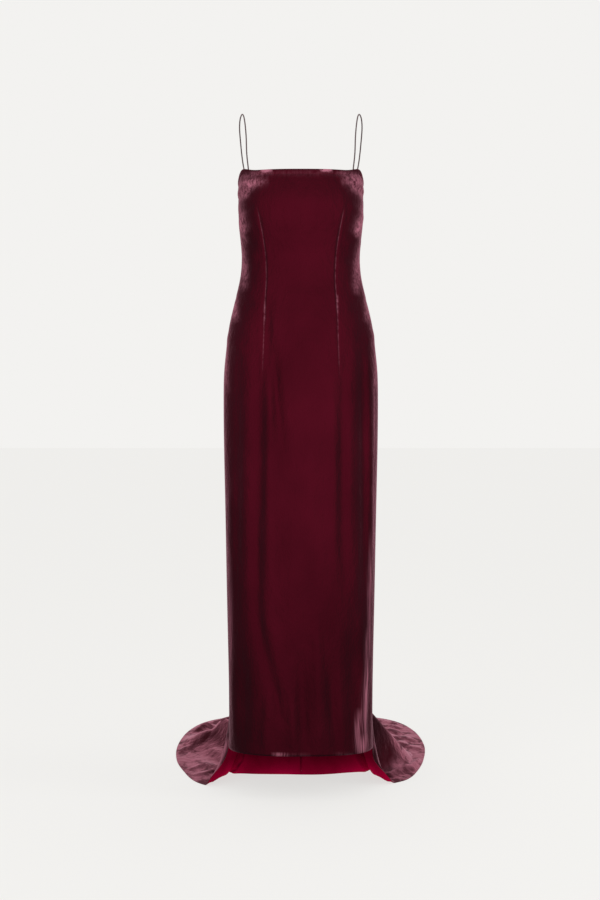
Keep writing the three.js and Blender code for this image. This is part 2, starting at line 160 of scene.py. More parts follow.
RIGHT_RIPPLES = table(RIPPLE_COLUMNS, [(0.62, 0.04, 12, 5), (0.73, 0.03, 16, 3), (0.84, 0.04, 24, 6)])
RIPPLE_SKEW, PUSH_TOP_HEIGHT = 0.45, 760
LEFT_HALF = {"side": 1, "train": LEFT_TRAIN, "tents": LEFT_TENTS, "ripples": LEFT_RIPPLES, "reach": 0.83}
RIGHT_HALF = {"side": -1, "train": RIGHT_TRAIN, "tents": RIGHT_TENTS, "ripples": RIGHT_RIPPLES, "reach": 0.8}

# Creases: each runs straight from one end to the other, bowed sideways by bow, and rises or sinks by rise.
CREASE_COLUMNS = "from_a from_b to_a to_b width rise bow"
# On the front, a is across from the centre (+ is the wearer's left) and b is the height.
FRONT_CREASES = table(
    CREASE_COLUMNS,
    [
        (-76, 1130, -36, 760, 14, -7.5, 6),
        (-62, 1100, -62, 760, 9, 3.2, 3),
        (-94, 1090, -98, 420, 17, -5.0, -3),
        (-70, 1000, -74, 460, 11, 3.4, 2),
        (-102, 700, -92, 330, 14, -4.5, 2),
        (-106, 470, -48, 205, 15, -3.6, 5),
        (-88, 470, -26, 215, 15, 2.8, 5),
        (-62, 270, -40, 160, 9, -3.2, 0),
        (99, 1010, 99, 420, 15, -4.6, 3),
        (74, 960, 76, 500, 12, 3.0, 0),
        (108, 980, 106, 540, 12, 3.4, 0),
        (136, 1080, 140, 400, 11, -4.4, -4),
        (153, 1050, 154, 380, 8, 4.2, -2),
        (-138, 1000, -142, 480, 13, -3.6, 4),
        (-154, 760, -152, 240, 9, 3.2, 3),
        (120, 460, 116, 110, 17, -4.0, 3),
        (144, 340, 138, 100, 8, 4.0, 2),
        (154, 260, 152, 100, 5, -2.6, 0),
        (-132, 340, -126, 106, 14, -4.4, -3),
        (-152, 300, -148, 100, 7, 3.0, 0),
        (0, 330, 12, 84, 13, -5.5, 2),
        (34, 430, 44, 90, 13, 4.6, 0),
        (68, 320, 82, 84, 12, -5.5, 3),
        (-22, 260, -14, 84, 10, 3.6, 0),
        (-70, 240, -78, 84, 12, 4.0, 2),
        (-20, 640, -16, 330, 20, 2.4, 0),
        (26, 840, 20, 480, 22, 2.0, 4),
        (-150, 1338, -96, 1362, 6, -3.0, -3),
        (-150, 1354, -88, 1380, 7, 3.0, -3),
        (150, 1344, 104, 1370, 6, -2.8, 3),
        (150, 1360, 92, 1382, 7, 2.6, 3),
        (-146, 1304, -104, 1322, 8, -2.6, 2),
        (148, 1300, 106, 1324, 8, 2.4, -2),
        (-134, 1250, -98, 1226, 8, -2.4, 2),
        (-134, 1216, -92, 1206, 7, 2.2, 0),
        (136, 1256, 100, 1230, 8, 2.2, -2),
        (136, 1206, 98, 1200, 6, -2.2, 0),
        (-148, 1128, -104, 1098, 9, -2.6, 3),
        (150, 1122, 108, 1086, 9, -2.6, -3),
        (88, 1088, 76, 1078, 4, 1.4, 0),
        (-170, 1040, -120, 990, 10, 2.4, 4),
        (170, 1046, 126, 1004, 10, 2.4, -4),
    ],
)
# On the back, a is across from the centre back (+ is the wearer's left) and b is the height.
BACK_CREASES = table(
    CREASE_COLUMNS,
    [
        (18, 1160, 30, 1020, 7, -2.0, 2),
        (-16, 1150, -34, 1030, 6, -1.8, -3),
        (50, 1130, 70, 1040, 8, -1.8, 3),
        (-52, 1140, -74, 1030, 8, -2.0, -4),
        (20, 1236, 84, 1222, 5, -1.8, 4),
        (-20, 1228, -92, 1210, 5, -1.7, 3),
        (34, 1200, 104, 1192, 6, 1.8, 3),
        (-30, 1186, -98, 1180, 6, 1.8, -3),
        (140, 1352, 92, 1366, 5, -2.0, 3),
        (-140, 1346, -98, 1364, 5, -2.0, -3),
        (64, 900, 78, 420, 12, 3.4, 5),
        (46, 860, 56, 480, 10, -3.0, 4),
        (-70, 880, -84, 380, 12, 3.6, -5),
        (-50, 800, -58, 420, 10, -3.0, -3),
        (112, 920, 124, 360, 12, -3.0, 4),
        (-116, 900, -122, 420, 11, -2.8, -4),
        (24, 700, 30, 240, 13, 3.0, 3),
        (-20, 640, -34, 230, 12, 3.2, -3),
        (140, 760, 146, 260, 9, 2.6, 2),
        (-142, 720, -150, 240, 9, 2.4, -2),
        (92, 430, 104, 170, 10, 3.2, 3),
        (-96, 420, -108, 180, 10, 3.0, -3),
    ],
)
# Ridges that stand in the train: a is across (+ is the wearer's left) and b is back from the shoulder line.
# Each runs from one place and height to another, steep on its near side and easier on its far side.
TRAIN_RIDGES = table(
    "from_a from_b from_rise to_a to_b to_rise near far",
    [
        (-60, 220, 22, -130, 310, 52, 44, 76),
        (-130, 310, 52, -190, 395, 60, 40, 76),
        (-190, 395, 60, -228, 402, 38, 34, 72),
        (-228, 402, 38, -300, 392, 4, 28, 60),
        (-205, 474, 9, -236, 408, 5, 9, 16),
        (-206, 690, 16, -246, 672, 11, 14, 30),
        (-262, 590, 16, -284, 560, 12, 14, 30),
        (-240, 170, 5, -262, 150, 5, 8, 14),
        (-214, 120, 5, -240, 96, 5, 8, 14),
        (-276, 380, 8, -306, 330, 5, 10, 18),
        (208, 84, 10, 262, 146, 12, 9, 16),
        (262, 146, 12, 290, 222, 8, 9, 16),
        (208, 724, 11, 246, 680, 10, 16, 30),
        (258, 660, 10, 290, 616, 7, 16, 28),
        (226, 592, 6, 262, 584, 5, 14, 24),
        (222, 536, 6, 256, 528, 4, 14, 24),
        (250, 470, 6, 286, 450, 4, 14, 24),
        (260, 390, 5, 296, 360, 4, 14, 22),
        (60, 560, 18, 96, 690, 8, 30, 34),
        (-40, 540, 17, -92, 700, 8, 30, 34),
        (10, 360, 22, 22, 600, 12, 34, 34),
    ],
)

# Painted highlights and sheen: pale pink on the neck roll, dart ends, hem edge and the sides, by the same
# columns; rise is how pale it gets.
FRONT_PAINTED_HIGHLIGHTS = table(
    CREASE_COLUMNS,
    [
        (-90, 1397, -62, 1397, 3.2, 3.0, 0),
        (42, 1397, 72, 1397, 3.2, 3.0, 0),
        (-150, 1390, -60, 1392, 6, 0.5, 0),
        (150, 1390, 76, 1392, 6, 0.5, 0),
        (-100, 1390, 100, 1390, 6, 0.12, 0),
        (-156, 1380, -70, 1372, 9, 0.8, 3),
        (-154, 1352, -92, 1376, 10, 0.8, 3),
        (-148, 1340, -112, 1352, 8, 0.6, 2),
        (156, 1388, 86, 1374, 10, 0.8, -3),
        (152, 1346, 108, 1368, 12, 0.8, 3),
        (-144, 1336, -124, 1262, 12, 0.8, 5),
        (-140, 1300, -126, 1240, 7, 0.6, 0),
        (148, 1336, 122, 1256, 12, 0.75, -5),
        (134, 1296, 124, 1252, 5, 0.9, 0),
        (-140, 1260, -128, 1130, 9, 0.75, -4),
        (140, 1250, 126, 1120, 9, 0.8, 4),
        (-152, 1140, -146, 1060, 8, 0.8, 2),
        (154, 1140, 150, 1060, 8, 0.8, -2),
        (-81, 1112, -82, 1060, 1.6, 0.5, 0),
        (82, 1124, 82, 1080, 1.6, 0.7, 0),
        (-168, 1080, -166, 900, 6, 0.6, 4),
        (168, 1080, 168, 900, 6, 0.6, -4),
        (166, 960, 166, 740, 2.4, 0.5, 0),
        (163, 760, 162, 520, 2.2, 0.4, 0),
        (158, 600, 156, 300, 4, 0.5, 3),
        (152, 380, 148, 170, 5, 0.55, 3),
        (150, 290, 144, 92, 7, 0.8, 4),
        (132, 200, 128, 92, 6, 0.8, 3),
        (142, 140, 138, 86, 9, 0.9, 0),
        (-160, 560, -158, 240, 4, 0.4, -3),
        (-66, 101, -24, 100, 3, 1.0, 0),
        (-30, 101, 26, 100, 2.0, 0.3, 0),
        (70, 101, 120, 99, 2.0, 0.4, 0),
    ],
)

# The same painted sheen on the back, beside the side seams, by place across and height.
BACK_PAINTED_SHEEN = table(
    CREASE_COLUMNS,
    [
        (-150, 1380, -108, 1366, 13, 0.4, 3),
        (-148, 1338, -116, 1350, 9, 0.3, 2),
        (-146, 1322, -122, 1246, 12, 0.35, 4),
        (-142, 1236, -120, 1136, 10, 0.35, -4),
        (-154, 1130, -144, 1044, 9, 0.3, 2),
        (-170, 1040, -160, 880, 8, 0.2, 4),
        (150, 1372, 100, 1358, 12, 0.4, -3),
        (148, 1330, 118, 1258, 13, 0.35, -4),
        (142, 1250, 118, 1150, 9, 0.35, 4),
        (156, 1120, 142, 1020, 9, 0.3, -2),
        (172, 1000, 162, 850, 8, 0.2, -4),
    ],
)

# Painted sheen on the train, by place across and back.
TRAIN_PAINTED_SHEEN = table(
    CREASE_COLUMNS,
    [
        (196, 84, 262, 160, 20, 0.9, 0),
        (222, 100, 276, 200, 14, 0.7, 0),
        (-214, 24, -244, 110, 18, 0.8, 0),
        (-232, 110, -262, 200, 22, 0.8, 0),
        (-250, 180, -284, 300, 18, 0.7, 0),
        (-214, 12, -200, 46, 7, 1.0, 0),
    ],
)

# Painted highlights along the side hems of the back, by place across and height.
SIDE_HEM_PAINTED_HIGHLIGHTS = table(
    CREASE_COLUMNS,
    [
        (-161, 116, -204, 12, 6, 1.2, 3),
        (161, 112, 196, 24, 3, 0.5, -3),
    ],
)

# Dark lines on the wrong side of the back, by place across and height: painted shade in the folds, and the
# centre seam.
INSIDE_FOLD_SHADE_AND_SEAMS = table(
    CREASE_COLUMNS,
    [
        (-134, 78, -140, 30, 2.2, 0.8, -2),
        (-138, 36, -152, 12, 2.4, 0.9, 2),
        (-150, 14, -170, 4, 2.6, 0.8, 0),
        (-28, 190, -28, 0, 1.0, 0.4, 0),
        (128, 60, 150, 14, 3.0, 0.35, 3),
        (0, 190, 2, 0, 1.4, 0.9, 0),
        (2, 190, 0, 0, 1.4, 0.9, 0),
    ],
)

# The straps: thin round loops over the shoulders, their ends behind the neck edge.
STRAP_DIAMETER = 3
STRAP_TUCK = 12
STRAP_FRONT_OUT, STRAP_BACK_OUT = 120, 126
STRAP_WALL = 2
STRAP_ROUTE = [
    (121.5, -64, 1440),
    (124, -43, 1487),
    (127.5, -26, 1521),
    (131, -13, 1539),
    (135, 0, SHOULDER_HEIGHT - STRAP_DIAMETER / 2),
    (139.5, 13, 1540),
    (142, 26, 1523),
    (140.3, 42, 1490),
    (135, 52, 1442),
]

# Mesh steps.
DART_STEPS, SIDE_STEPS, DART_CROWD = 27, 47, 1.3
DART_SHARE = 5 / 14
FRONT_BODY_ROWS = 262
BACK_RUNS = ((0, 0.14, 24), (0.14, 0.34, 32), (0.34, 0.74, 78), (0.74, 1, 24))
BACK_BODY_ROWS, FLARE_ROWS, FLOOR_ROWS = 110, 40, 116
ARC_STEPS = 300
STRAP_STEPS, STRAP_SIDES = 150, 12


def mix(low, high, share):
    return low + (high - low) * share


def smooth(share):
    s = np.clip(share, 0, 1)
    return s * s * (3 - 2 * s)


def read(rows, along, column, at):
    """A smooth curve through one column of a table, read at places along another."""
    x, y = rows[along], rows[column]
    slope = np.empty(len(x))
    slope[1:-1] = (y[2:] - y[:-2]) / (x[2:] - x[:-2])
    slope[0] = (y[1] - y[0]) / (x[1] - x[0])
    slope[-1] = (y[-1] - y[-2]) / (x[-1] - x[-2])
    at = np.clip(np.asarray(at, float), x[0], x[-1])
    i = np.clip(np.searchsorted(x, at, side="right") - 1, 0, len(x) - 2)
    span = x[i + 1] - x[i]
    t = (at - x[i]) / span
    ends = (2 * t**3 - 3 * t**2 + 1) * y[i] + (3 * t**2 - 2 * t**3) * y[i + 1]
    return ends + (t**3 - 2 * t**2 + t) * span * slope[i] + (t**3 - t**2) * span * slope[i + 1]


class Arc:
    """Quarters of level sections, one for each height, from the side seam round to the centre."""

    def __init__(self, face, height):
        half_width = read(SECTIONS, "height", "half_width", height)[:, None]
        depth = read(SECTIONS, "height", face + "_depth", height)[:, None]
        power = 2 / read(SECTIONS, "height", face + "_power", height)[:, None]
        angle = np.linspace(0, math.pi / 2, ARC_STEPS + 1)[None, :]
        self.out = half_width * np.cos(angle).clip(0) ** power
        self.out[:, -1] = 0
        self.deep = depth * np.sin(angle) ** power
        step = np.hypot(np.diff(self.out), np.diff(self.deep))
        self.length = np.concatenate([np.zeros((len(height), 1)), step.cumsum(1)], 1)
        self.whole = self.length[:, -1]
        self.rows = np.arange(len(height))

    def point(self, share):
        wanted = share * self.whole
        i = np.clip((self.length < wanted[:, None]).sum(1), 1, ARC_STEPS)
        r = self.rows
        t = (wanted - self.length[r, i - 1]) / (self.length[r, i] - self.length[r, i - 1])
        out = mix(self.out[r, i - 1], self.out[r, i], t)
        return out, mix(self.deep[r, i - 1], self.deep[r, i], t)

    def share_at(self, out):
        """The share round from the side seam at which the section is that far out."""
        i = np.clip((self.out > out[:, None]).sum(1), 1, ARC_STEPS)
        r = self.rows
        t = (self.out[r, i - 1] - out) / (self.out[r, i - 1] - self.out[r, i])
        return mix(self.length[r, i - 1], self.length[r, i], t) / self.whole

    def raised(self, share, amount):
        step = 0.01
        out, deep = self.point(share)
        out_before, deep_before = self.point(np.maximum(0, share - step))
        out_after, deep_after = self.point(np.minimum(1, share + step))
        run = np.hypot(out_after - out_before, deep_after - deep_before)
        return out + amount * (deep_after - deep_before) / run, deep - amount * (out_after - out_before) / run


def neck_height(out):
    """The neck edge rises a little beside each strap and drops towards the side seams."""
    lift = NECK_LIFT * np.exp(-(((out - NECK_LIFT_OUT) / NECK_LIFT_SPREAD) ** 2))
    return NECK_HEIGHT + lift - NECK_SIDE_DROP * smooth((out - NECK_DROP_START) / NECK_DROP_SPREAD)


def back_neck_height(place):
    return neck_height(NECK_SIDE_OUT) - NECK_BACK_DROP * smooth(place)


def creases(rows, a, b):
    """The rise of a table of creases at places a, b."""
    total = np.zeros(np.broadcast(a, b).shape)
    for i in range(len(rows["rise"])):
        a0, b0 = rows["from_a"][i], rows["from_b"][i]
        run_a, run_b = rows["to_a"][i] - a0, rows["to_b"][i] - b0
        run = math.hypot(run_a, run_b)
        t = ((a - a0) * run_a + (b - b0) * run_b) / run**2
        inside = np.clip(t, 0, 1)
        off = ((a - a0) * run_b - (b - b0) * run_a) / run - rows["bow"][i] * np.sin(math.pi * inside)
        fade = np.where((t > 0) & (t < 1), np.sin(math.pi * inside) ** 0.8, 0)
        total += rows["rise"][i] * fade * np.exp(-((off / rows["width"][i]) ** 2))
    return total


def ridges(rows, a, b):
    """The rise of a table of standing ridges at places a, b."""
    total = np.zeros(np.broadcast(a, b).shape)
    for i in range(len(rows["near"])):
        a0, b0 = rows["from_a"][i], rows["from_b"][i]
        run_a, run_b = rows["to_a"][i] - a0, rows["to_b"][i] - b0
        run = math.hypot(run_a, run_b)
        t = np.clip(((a - a0) * run_a + (b - b0) * run_b) / run**2, 0, 1)
        distance = np.hypot(a - a0 - t * run_a, b - b0 - t * run_b)
        ahead = (b - b0 - t * run_b) / np.maximum(distance, 1e-6)
        width = mix(rows["near"][i], rows["far"][i], 0.5 + 0.5 * ahead)
        rise = mix(rows["from_rise"][i], rows["to_rise"][i], t) * np.exp(-((distance / width) ** 2))
        total = np.maximum(total, rise)
    return total


def band_profile(drop, out):
    """The turned neck band: a soft roll over the edge, a stitched groove under it, deeper at the sides."""
    across = np.clip(drop / BAND_HEIGHT, 0, 1)
    roll = 1.1 * np.sin(math.pi * across**0.6) ** 0.7
    sides = 0.2 + 1.4 * smooth((out - 60) / 50)
    groove = sides * np.exp(-(((drop - BAND_HEIGHT) / 1.6) ** 2))
    return roll - groove


def edge_rows(top, bottom, count):
    """Heights down a panel: close together in the neck band, then even down to the bottom."""
    band = [0, 0.8, 2, 3.6, 5.4, 7.2, 8.8, 10, 11, 12, 13.4, 15.5]
    rows = [top - drop for drop in band]
    return rows + [mix(rows[-1], bottom, (i + 1) / count) for i in range(count)]


def path_lengths(grid):
    """How far down each column every point is, and how far across each row, along the cloth."""
    down = np.linalg.norm(np.diff(grid, axis=0), axis=2)
    across = np.linalg.norm(np.diff(grid, axis=1), axis=2)
    down = np.concatenate([np.zeros((1, grid.shape[1])), down.cumsum(0)])
    across = np.concatenate([np.zeros((grid.shape[0], 1)), across.cumsum(1)], 1)
    return across, down


def grid_normals(grid):
    """Unit normals of a grid of points, from its neighbours along and down."""
    along = np.empty_like(grid)
    along[:, 1:-1] = grid[:, 2:] - grid[:, :-2]
    along[:, 0] = grid[:, 1] - grid[:, 0]
    along[:, -1] = grid[:, -1] - grid[:, -2]
    down = np.empty_like(grid)
    down[1:-1] = grid[2:] - grid[:-2]
    down[0] = grid[1] - grid[0]
    down[-1] = grid[-1] - grid[-2]
    normal = np.cross(along, down)
    return normal / np.linalg.norm(normal, axis=2, keepdims=True)


def shell(name, grid, painted_light_and_seam_marks, inside, toward_inside, materials):
    """A closed thin cloth from a grid of its outer points: the face outside, the wrong side inside."""
    rows, columns = grid.shape[:2]
    inner = grid + grid_normals(grid) * toward_inside * CLOTH
    inner[..., 2] = np.maximum(inner[..., 2], 0.2)
    points = np.concatenate([grid.reshape(-1, 3), inner.reshape(-1, 3)])
    points[:, 2] -= SHOULDER_HEIGHT
    ids = np.arange(rows * columns).reshape(rows, columns)
    a, b, c, d = ids[:-1, :-1], ids[1:, :-1], ids[1:, 1:], ids[:-1, 1:]
    outer_faces = np.stack([a, b, c, d], -1).reshape(-1, 4)
    inner_faces = np.stack([a, d, c, b], -1).reshape(-1, 4) + rows * columns
    layer = rows * columns
    left, right, top, low = ids[:, 0], ids[:, -1], ids[0], ids[-1]
    rims = [
        np.stack([left[:-1], left[:-1] + layer, left[1:] + layer, left[1:]], -1),
        np.stack([right[:-1], right[1:], right[1:] + layer, right[:-1] + layer], -1),
        np.stack([top[:-1], top[1:], top[1:] + layer, top[:-1] + layer], -1),
        np.stack([low[:-1], low[:-1] + layer, low[1:] + layer, low[1:]], -1),
    ]
    rim_faces = np.concatenate(rims)
    faces = np.concatenate([outer_faces, inner_faces, rim_faces])
    if toward_inside < 0:
        faces = faces[:, ::-1]
    mesh = bpy.data.meshes.new(name)
    mesh.vertices.add(len(points))
    mesh.vertices.foreach_set("co", (points * METRES).astype(np.float32).ravel())
    mesh.loops.add(faces.size)
    mesh.loops.foreach_set("vertex_index", faces.astype(np.int32).ravel())
    mesh.polygons.add(len(faces))
    mesh.polygons.foreach_set("loop_start", np.arange(0, faces.size, 4, dtype=np.int32))
    mesh.polygons.foreach_set("loop_total", np.full(len(faces), 4, np.int32))
    slots = np.ones(len(faces))
    slots[: len(outer_faces)] = 0
    slots[-2 * (columns - 1) :] = 0
    mesh.polygons.foreach_set("material_index", slots.astype(np.int32))
    mesh.update(calc_edges=True)
    across, down = path_lengths(grid)
    place = np.stack([across.ravel(), down.ravel()], -1) * METRES
    place = np.concatenate([place, place])
    uv = mesh.uv_layers.new(name="cloth")
    uv.data.foreach_set("uv", place[faces.ravel()].astype(np.float32).ravel())
    mesh.polygons.foreach_set("use_smooth", np.ones(len(faces), bool))
    # Per point: painted highlights and sheen on the face, painted fold shade and seam lines on the wrong
    # side.
    pale = mesh.attributes.new("painted_light_and_seam_marks", "FLOAT", "POINT")
    pale.data.foreach_set("value", np.concatenate([painted_light_and_seam_marks.ravel(), inside.ravel()]).astype(np.float32))
    mesh.validate()
    for material in materials:
        mesh.materials.append(material)
    piece = bpy.data.objects.new(name, mesh)
    bpy.context.scene.collection.objects.link(piece)
    return piece


def front_grid():
    """Outer points of the front panel: rows down it, columns from the wearer's right to left."""
    near = DART_SHARE * (1 - (1 - np.linspace(0, 1, DART_STEPS + 1)) ** DART_CROWD)
    far = mix(DART_SHARE, 1, np.linspace(0, 1, SIDE_STEPS + 1)[1:] ** DART_CROWD)
    half = np.concatenate([near, far])
    across = np.concatenate([-half[:0:-1], half])
    out_share = np.abs(across)
    top = neck_height(out_share * NECK_SIDE_OUT)
    bottom = mix(HEM_HEIGHT, SIDE_HEM_HEIGHT, out_share**4)
    rows, painted_light_and_seam_rows = [], []
    for height in edge_rows(top, bottom, FRONT_BODY_ROWS):
        arc = Arc("front", height)
        dart = 1 - arc.share_at(read(DART, "height", "out", height))
        beyond = mix(dart, 1, (out_share - DART_SHARE) / (1 - DART_SHARE))
        from_centre = np.where(out_share <= DART_SHARE, out_share / DART_SHARE * dart, beyond)
        share = np.maximum(1 - from_centre, SEAM_GAP / 2 / arc.whole)
        plain, _ = arc.point(share)
        signed = np.sign(across) * plain
        apart = (from_centre - dart) * arc.whole
        pinch = read(DART, "height", "depth", height) * np.exp(-((apart / 2.6) ** 2))
        rise = creases(FRONT_CREASES, signed, height) * smooth((top - height) / 26) - pinch
        rise += band_profile(top - height, plain)
        near_hem = height - bottom
        rise += 0.5 * smooth((HEM_TURN - near_hem) / 3) + 0.6 * np.exp(-((near_hem / 2.2) ** 2))
        rise *= smooth(from_side(arc, share) / 5)
        out, deep = arc.raised(share, rise)
        rows.append(np.stack([np.sign(across) * out, -deep, height], -1))
        # Painted highlights and sheen from the front table, and a pale line along each dart.
        stitched = smooth(read(DART, "height", "depth", height) / 0.8)
        painted_light_and_seam_rows.append(creases(FRONT_PAINTED_HIGHLIGHTS, signed, height) + 0.35 * stitched * np.exp(-((apart / 0.9) ** 2)))
    return np.array(rows), np.array(painted_light_and_seam_rows)


def from_side(arc, share):
    return share * arc.whole


def bump(at, centre, width):
    return np.exp(-(((at - centre) / width) ** 2))


def flare_height(place):
    return mix(FLARE_SIDE_HEIGHT, FLARE_BACK_HEIGHT, smooth((place - FLARE_DROP_START) / FLARE_DROP_SPREAD))


def back_body(place, height, half, rise):
    """Points of the skirt above the floor, pushed out a little by the folds that start in it."""
    arc = Arc("back", height)
    seam = SEAM_GAP / 2 / arc.whole
    share = np.clip(place, seam, 1 - CENTRE_GAP / 2 / arc.whole)
    low = smooth((PUSH_TOP_HEIGHT - height) / (PUSH_TOP_HEIGHT - FLARE_BACK_HEIGHT))
    push = sum(
        folds["push"][i] * bump(place, folds["round"][i], folds["width"][i])
        for folds in (half["tents"], half["ripples"])
        for i in range(len(folds["push"]))
    )
    push = push * low * smooth(place * 8) * smooth((1 - place) * 12)
    across = half["side"] * (1 - share) * arc.whole
    fade = smooth(share * arc.whole / 6) * smooth((height - flare_height(place)) / 90)
    seam_dip = 0.9 * np.exp(-((((1 - share) * arc.whole) / 2.2) ** 2))
    total = rise + push + creases(BACK_CREASES, across, height) * fade - seam_dip
    return arc.raised(share, total)


def train_rows(place, half):
    """Points of each line of cloth from where it leaves the skirt, down to the floor and out to the hem."""
    col = {name: read(half["train"], "round", name, place) for name in half["train"]}
    height = flare_height(place)
    top_out, top_deep = back_body(place, height, half, 0)
    gap = CENTRE_GAP / 2
    start = np.stack([top_out, top_deep, height], -1)
    lift_up = np.maximum(2, col["bend_up"])
    bend = np.stack([np.maximum(col["bend_out"], gap), col["bend_back"], lift_up], -1)
    rim = np.stack([np.maximum(col["rim_out"], gap), col["rim_back"], np.maximum(2, col["rim_up"])], -1)
    fall = start.copy()
    fall[:, 2] = mix(start[:, 2], bend[:, 2], FALL_HANDLE)
    outward = rim - bend
    outward /= np.linalg.norm(outward, axis=1, keepdims=True)
    handle = bend - outward * BEND_HANDLE
    handle[:, 0] = np.maximum(handle[:, 0], gap)
    rows = []
    steps = [(i + 1) / FLARE_ROWS for i in range(FLARE_ROWS)]
    steps += [1 + (i + 1) / FLOOR_ROWS for i in range(FLOOR_ROWS)]
    for step in steps:
        on_flare = step <= 1
        part = step if on_flare else step - 1
        if on_flare:
            u = 1 - part
            lying = u**3 * start + 3 * u * u * part * fall + 3 * u * part * part * handle + part**3 * bend
            along = part * TENT_BEND_SHARE
        else:
            lying = mix(bend, rim, part)
            along = mix(TENT_BEND_SHARE, 1, part)
        tented = mix(start, rim, along)
        tented[:, 2] = rim[:, 2] + (start[:, 2] - rim[:, 2]) * max(0, 1 - along / half["reach"]) ** TENT_SAG
        tents = half["tents"]
        lift = 0
        for i in range(len(tents["round"])):
            width = tents["width"][i]
            if not on_flare:
                width = mix(width, tents["hem_width"][i], smooth(part * TENT_SPREAD))
            lift = lift + tents["lift"][i] * bump(place, tents["round"][i], width)
        lift = np.clip(lift, 0, 1) * smooth((place - 0.1) / 0.12) * smooth((1 - place) * 12)
        point = lying + (tented - lying) * lift[:, None]
        if not on_flare:
            swell = math.sin(math.pi * part**RIPPLE_SKEW)
            ripples = half["ripples"]
            rise = sum(
                ripples["rise"][i] * bump(place, ripples["round"][i], ripples["width"][i])
                for i in range(len(ripples["round"]))
            )
            point[:, 2] += swell * rise * smooth((1 - place) * 12)
            stands = ridges(TRAIN_RIDGES, half["side"] * point[:, 0], point[:, 1])
            point[:, 2] += stands * smooth(part * 6) * smooth((1 - part) * 9) * smooth((place - 0.1) / 0.08)
        rows.append(point)
    return rows


def back_grid(half):
    """Outer points of half of the back: rows down it and out over the floor, columns from side to centre."""
    place = np.concatenate([[0.0]] + [np.linspace(a, b, n + 1)[1:] for a, b, n in BACK_RUNS])
    top = back_neck_height(place)
    rows = []
    for height in edge_rows(top, flare_height(place), BACK_BODY_ROWS):
        out_share = read(SECTIONS, "height", "half_width", height) * np.cos(place * math.pi / 2)
        out, deep = back_body(place, height, half, band_profile(top - height, out_share) * smooth(place * 40))
        rows.append(np.stack([out, deep, height], -1))
    rows += train_rows(place, half)
    grid = np.array(rows)
    grid[..., 0] *= half["side"]
    return grid


def strap_points(side):
    """The strap's centre line, ends behind the neck edge, as a smooth curve through its route."""

    def anchor(face, out, height):
        inward = STRAP_WALL + SEAM_GAP + STRAP_DIAMETER / 2
        arc = Arc(face, np.array([float(height)]))
        at_out, deep = arc.raised(arc.share_at(np.array([float(out)])), -inward)
        return (float(at_out[0]), float(-deep[0] if face == "front" else deep[0]), height)

    back_top = float(back_neck_height(2 / math.pi * math.acos(STRAP_BACK_OUT / NECK_SIDE_OUT)))
    route = [
        anchor("front", STRAP_FRONT_OUT, NECK_HEIGHT - STRAP_TUCK),
        anchor("front", STRAP_FRONT_OUT, NECK_HEIGHT),
        *STRAP_ROUTE,
        anchor("back", STRAP_BACK_OUT, back_top),
        anchor("back", STRAP_BACK_OUT, back_top - STRAP_TUCK),
    ]
    points = [Vector((side * x, y, z - SHOULDER_HEIGHT)) * METRES for x, y, z in route]
    points = [points[0] * 2 - points[1], *points, points[-1] * 2 - points[-2]]
    line = []
    for i in range(1, len(points) - 2):
        p0, p1, p2, p3 = points[i - 1 : i + 3]
        k0 = math.sqrt((p1 - p0).length)
        k1 = math.sqrt((p2 - p1).length)
        k2 = math.sqrt((p3 - p2).length)
        m1 = ((p1 - p0) / k0 - (p2 - p0) / (k0 + k1) + (p2 - p1) / k1) * k1
        m2 = ((p2 - p1) / k1 - (p3 - p1) / (k1 + k2) + (p3 - p2) / k2) * k1
        steps = STRAP_STEPS // (len(points) - 3)
        for j in range(steps + (i == len(points) - 3)):
            t = j / steps
            ends = (2 * t**3 - 3 * t**2 + 1) * p1 + (3 * t**2 - 2 * t**3) * p2
            line.append(ends + (t**3 - 2 * t**2 + t) * m1 + (t**3 - t**2) * m2)
    return line


def tube(name, line, radius, material):
    """A closed round tube along a line of points."""
    vertices, faces = [], []
    side = Vector((1, 0, 0))
    count = len(line)
    for i, point in enumerate(line):
        ahead = (line[min(i + 1, count - 1)] - line[max(i - 1, 0)]).normalized()
        side = (side - ahead * side.dot(ahead)).normalized()
        other = ahead.cross(side)
        for k in range(STRAP_SIDES):
            angle = 2 * math.pi * k / STRAP_SIDES
            vertices.append(point + (side * math.cos(angle) + other * math.sin(angle)) * radius)
    for i in range(count - 1):
        for k in range(STRAP_SIDES):
            a, b = i * STRAP_SIDES + k, i * STRAP_SIDES + (k + 1) % STRAP_SIDES
            faces.append((a, b, b + STRAP_SIDES, a + STRAP_SIDES))
    faces.append(tuple(reversed(range(STRAP_SIDES))))
    last = (count - 1) * STRAP_SIDES
    faces.append(tuple(last + k for k in range(STRAP_SIDES)))
    mesh = bpy.data.meshes.new(name)
    mesh.from_pydata(vertices, [], faces)
    mesh.polygons.foreach_set("use_smooth", [True] * len(faces))
    mesh.materials.append(material)
    piece = bpy.data.objects.new(name, mesh)
    bpy.context.scene.collection.objects.link(piece)
    return piece


